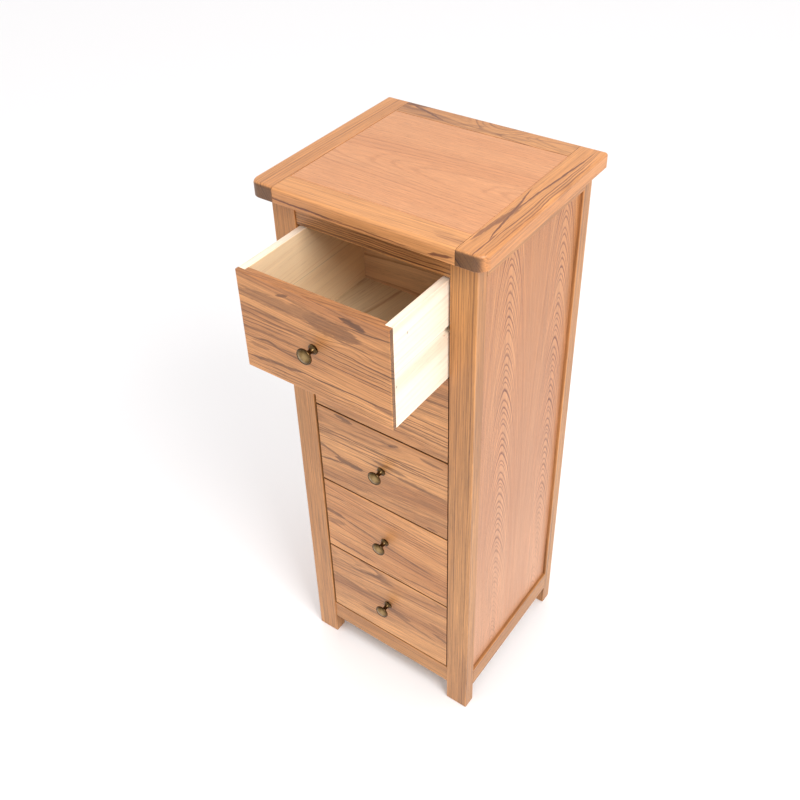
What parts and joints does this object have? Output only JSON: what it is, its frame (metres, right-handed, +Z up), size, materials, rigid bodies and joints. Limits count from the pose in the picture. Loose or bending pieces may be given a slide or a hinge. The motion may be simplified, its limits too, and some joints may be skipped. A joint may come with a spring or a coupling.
{
  "type": "tall chest of drawers",
  "caption": "Tall narrow wooden chest of drawers with a framed top, panelled sides, full-width drawers on wooden runners and round metal knobs, its top drawer standing open.",
  "frame": {"origin": "on the floor, midway between the feet under the middle of the top", "axes": "+Z up, +Y towards the back of the chest, +X to the right seen from the front"},
  "size_m": [0.45, 0.5504, 1.165],
  "materials": {
    "frame_wood": "satin lacquered",
    "top_wood": "satin lacquered",
    "panel_wood": "satin lacquered veneer",
    "front_wood": "satin lacquered",
    "box_wood": "sanded, bare",
    "box_bottom_wood": "sanded, bare",
    "back_wood": "sanded, bare",
    "runner_wood": "waxed",
    "knob_brass": "antiqued",
    "screw_steel": "zinc plated"
  },
  "bodies": {
    "carcass": {"front_left_post": "frame_wood", "front_right_post": "frame_wood", "back_left_post": "frame_wood", "back_right_post": "frame_wood", "left_upper_rail": "frame_wood", "right_upper_rail": "frame_wood", "left_lower_rail": "frame_wood", "right_lower_rail": "frame_wood", "front_upper_rail": "frame_wood", "front_lower_rail": "frame_wood", "back_upper_rail": "frame_wood", "back_lower_rail": "frame_wood", "top_left_board": "top_wood", "top_right_board": "top_wood", "top_front_rail": "top_wood", "top_back_rail": "top_wood", "top_panel": "top_wood", "left_side_panel": "panel_wood", "right_side_panel": "panel_wood", "back_panel": "back_wood", "left_runners": "runner_wood", "right_runners": "runner_wood", "top_screws": "screw_steel"},
    "drawer_1": {"drawer_1_front": "front_wood", "drawer_1_left_side": "box_wood", "drawer_1_right_side": "box_wood", "drawer_1_back": "box_wood", "drawer_1_bottom": "box_bottom_wood", "drawer_1_knob": "knob_brass", "drawer_1_knob_screw": "screw_steel"},
    "drawer_2": {"drawer_2_front": "front_wood", "drawer_2_left_side": "box_wood", "drawer_2_right_side": "box_wood", "drawer_2_back": "box_wood", "drawer_2_bottom": "box_bottom_wood", "drawer_2_knob": "knob_brass", "drawer_2_knob_screw": "screw_steel"},
    "drawer_3": {"drawer_3_front": "front_wood", "drawer_3_left_side": "box_wood", "drawer_3_right_side": "box_wood", "drawer_3_back": "box_wood", "drawer_3_bottom": "box_bottom_wood", "drawer_3_knob": "knob_brass", "drawer_3_knob_screw": "screw_steel"},
    "drawer_4": {"drawer_4_front": "front_wood", "drawer_4_left_side": "box_wood", "drawer_4_right_side": "box_wood", "drawer_4_back": "box_wood", "drawer_4_bottom": "box_bottom_wood", "drawer_4_knob": "knob_brass", "drawer_4_knob_screw": "screw_steel"},
    "drawer_5": {"drawer_5_front": "front_wood", "drawer_5_left_side": "box_wood", "drawer_5_right_side": "box_wood", "drawer_5_back": "box_wood", "drawer_5_bottom": "box_bottom_wood", "drawer_5_knob": "knob_brass", "drawer_5_knob_screw": "screw_steel"}
  },
  "joints": [
    {"name": "drawer_1_slide", "type": "slide", "parent": "carcass", "child": "drawer_1", "axis": [0, -1, 0], "range_m": [-0.1549, 0.0251]},
    {"name": "drawer_2_slide", "type": "slide", "parent": "carcass", "child": "drawer_2", "axis": [0, -1, 0], "range_m": [0, 0.18]},
    {"name": "drawer_3_slide", "type": "slide", "parent": "carcass", "child": "drawer_3", "axis": [0, -1, 0], "range_m": [0, 0.18]},
    {"name": "drawer_4_slide", "type": "slide", "parent": "carcass", "child": "drawer_4", "axis": [0, -1, 0], "range_m": [0, 0.18]},
    {"name": "drawer_5_slide", "type": "slide", "parent": "carcass", "child": "drawer_5", "axis": [0, -1, 0], "range_m": [0, 0.18]}
  ]
}
